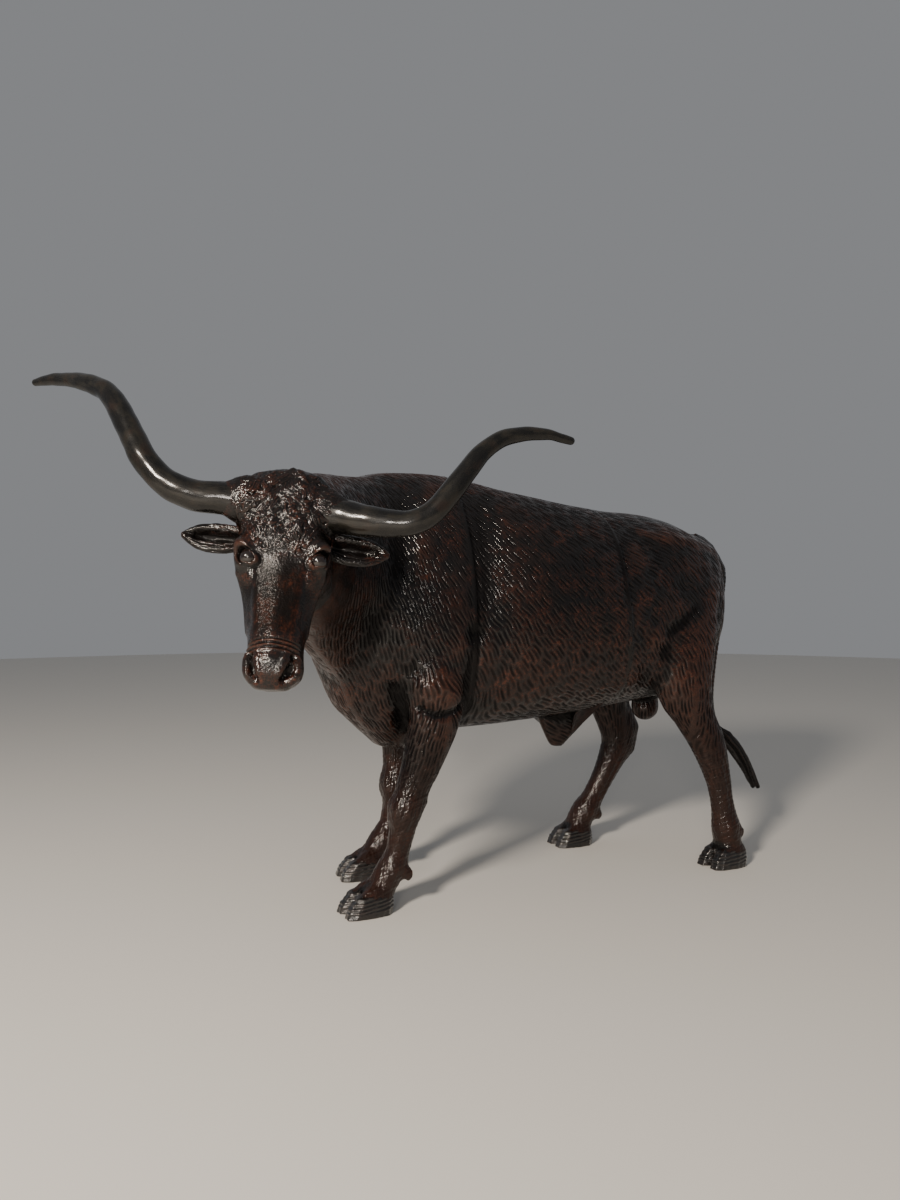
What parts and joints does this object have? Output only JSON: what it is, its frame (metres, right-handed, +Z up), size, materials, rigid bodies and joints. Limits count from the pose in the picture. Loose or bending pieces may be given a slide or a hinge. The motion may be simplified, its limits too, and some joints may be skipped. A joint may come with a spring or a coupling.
{
  "type": "longhorn bull statue",
  "caption": "Life-size cast metal statue of a longhorn bull, walking with its head turned to its left and resting on its hooves.",
  "frame": {"origin": "on the ground, under the middle of the whole statue's box, horns and tail included", "axes": "+X the way the body faces, +Y the animal's left, +Z up"},
  "size_m": [2.8728, 1.158, 1.7111],
  "materials": {
    "patina": "dark brown patina under glossy clear lacquer, reddish where it is rubbed",
    "horn_metal": "near-black patina, smooth and polished, lacquered",
    "hoof_metal": "near-black patina, satin, lacquered",
    "eye_metal": "black patina, polished, lacquered"
  },
  "bodies": {
    "root": {"left_fore_upper_leg": "patina", "left_fore_lower_leg": "patina", "left_fore_hoof": "hoof_metal", "right_fore_upper_leg": "patina", "right_fore_lower_leg": "patina", "right_fore_hoof": "hoof_metal", "left_hind_upper_leg": "patina", "left_hind_lower_leg": "patina", "left_hind_hoof": "hoof_metal", "right_hind_upper_leg": "patina", "right_hind_lower_leg": "patina", "right_hind_hoof": "hoof_metal", "tail": "patina", "tail_tuft": "patina", "sheath": "patina", "scrotum": "patina", "left_horn": "horn_metal", "left_ear": "patina", "left_eye": "eye_metal", "right_horn": "horn_metal", "right_ear": "patina", "right_eye": "eye_metal", "head": "patina", "neck": "patina", "shoulders": "patina", "hindquarters": "patina", "barrel": "patina"}
  },
  "joints": []
}
